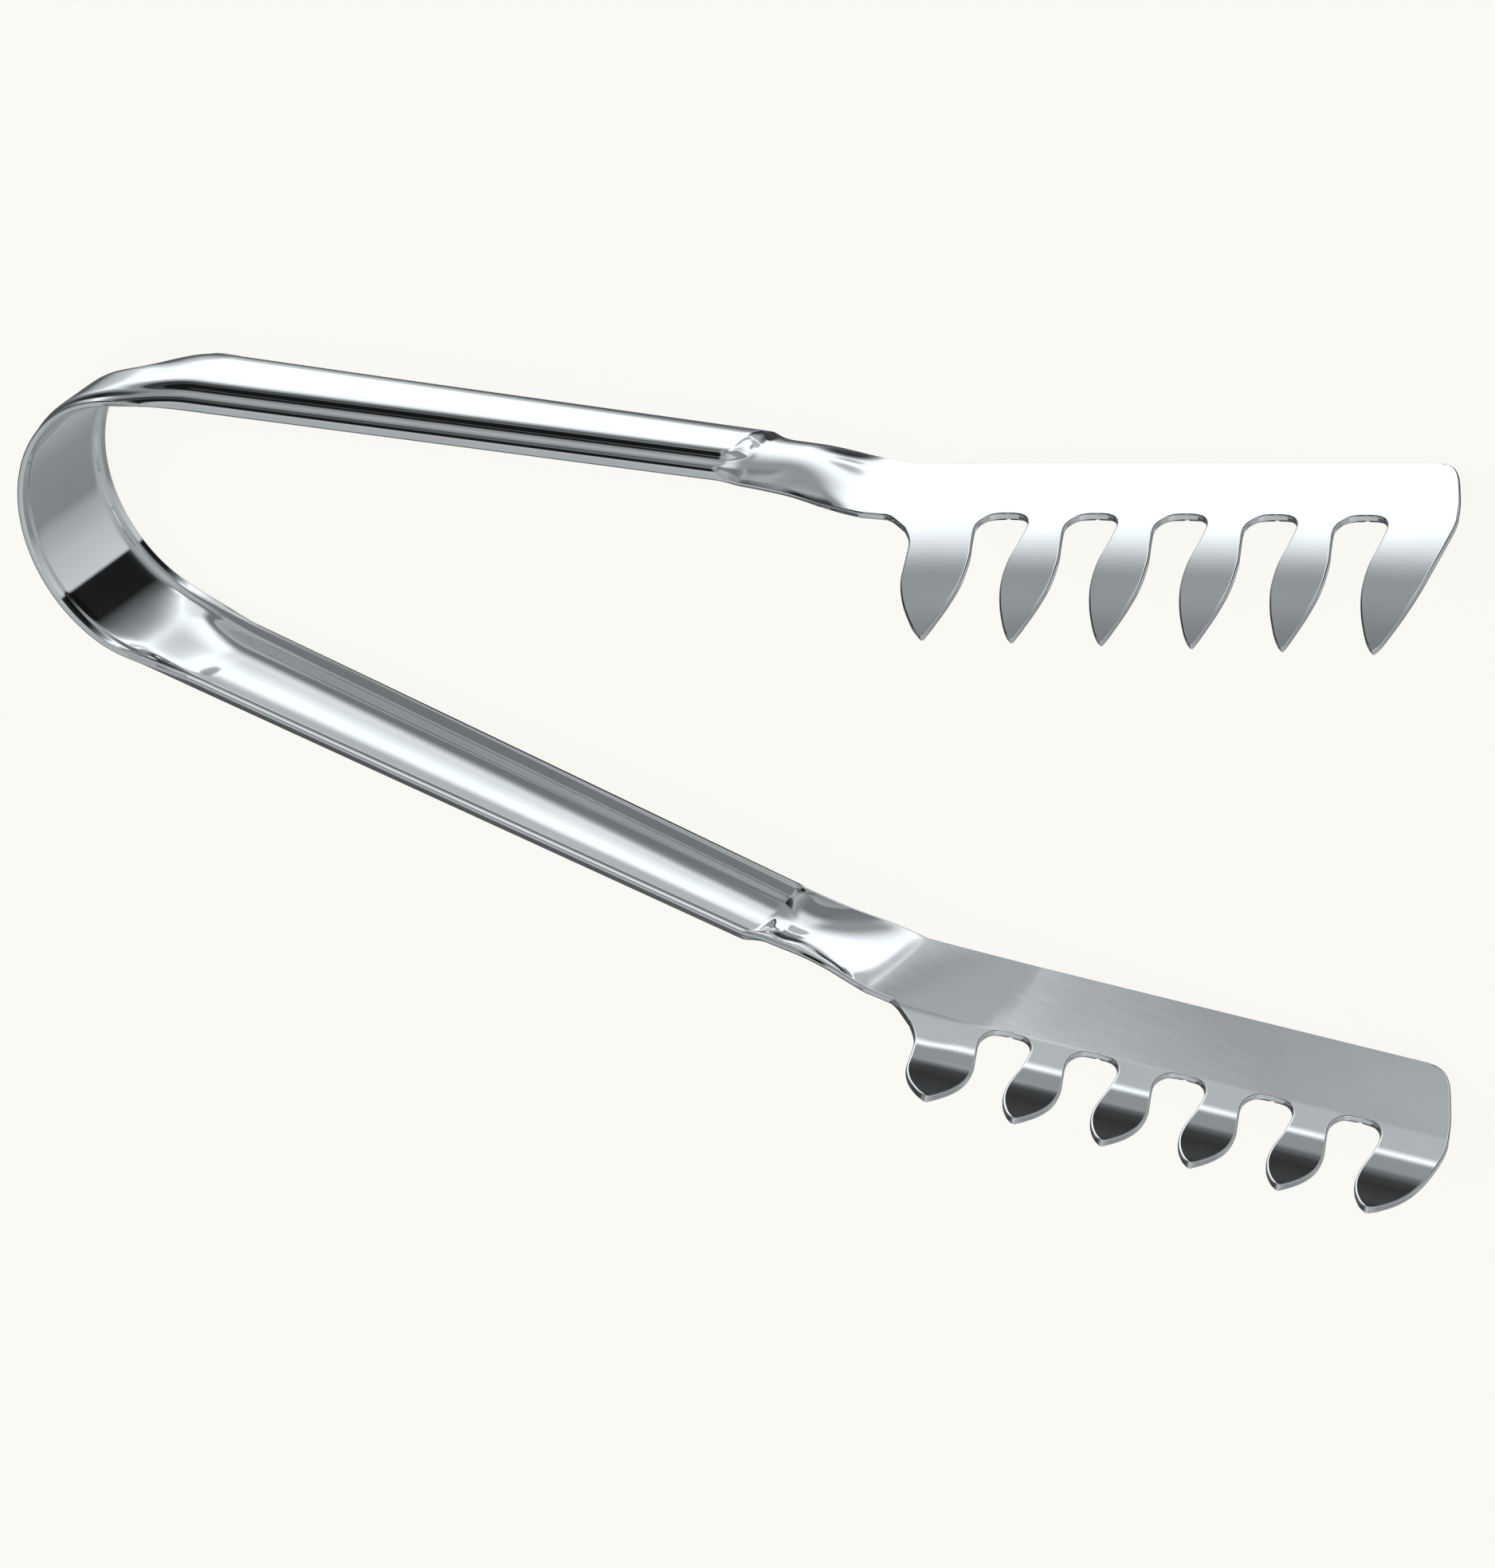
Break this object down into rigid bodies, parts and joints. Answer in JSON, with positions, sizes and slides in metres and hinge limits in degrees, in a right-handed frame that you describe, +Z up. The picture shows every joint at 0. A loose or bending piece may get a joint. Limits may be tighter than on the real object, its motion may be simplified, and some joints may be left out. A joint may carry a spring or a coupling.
{
  "type": "spaghetti serving tongs",
  "caption": "Springy one-piece polished steel tongs with channelled handles and two toothed comb heads for lifting long pasta.",
  "frame": {"origin": "centre of the bounding box, on the ground the tongs lie on", "axes": "+X from the bow to the comb heads, +Y across the opening towards the left arm, +Z up, to the side the teeth point to"},
  "size_m": [0.2348, 0.103, 0.0575],
  "materials": {
    "steel": "mirror-polished stainless steel"
  },
  "bodies": {
    "bow": {"bow_spring": "steel"},
    "left_arm": {"left_handle": "steel", "left_neck": "steel", "left_comb": "steel"},
    "right_arm": {"right_handle": "steel", "right_neck": "steel", "right_comb": "steel"}
  },
  "joints": [
    {"name": "left_flex", "type": "hinge", "parent": "bow", "child": "left_arm", "pos_m": [-0.10791, 0.01363, 0.01145], "axis": [0.0834, 0, -0.9965], "range_deg": [-3, 10.5], "stiffness_Nm_per_rad": 8},
    {"name": "right_flex", "type": "hinge", "parent": "bow", "child": "right_arm", "pos_m": [-0.10791, -0.01363, 0.01145], "axis": [-0.0834, 0, 0.9965], "range_deg": [-3, 10.5], "stiffness_Nm_per_rad": 8}
  ],
  "couplings": [
    {"joint": "right_flex", "follows": "left_flex", "ratio": 1}
  ]
}
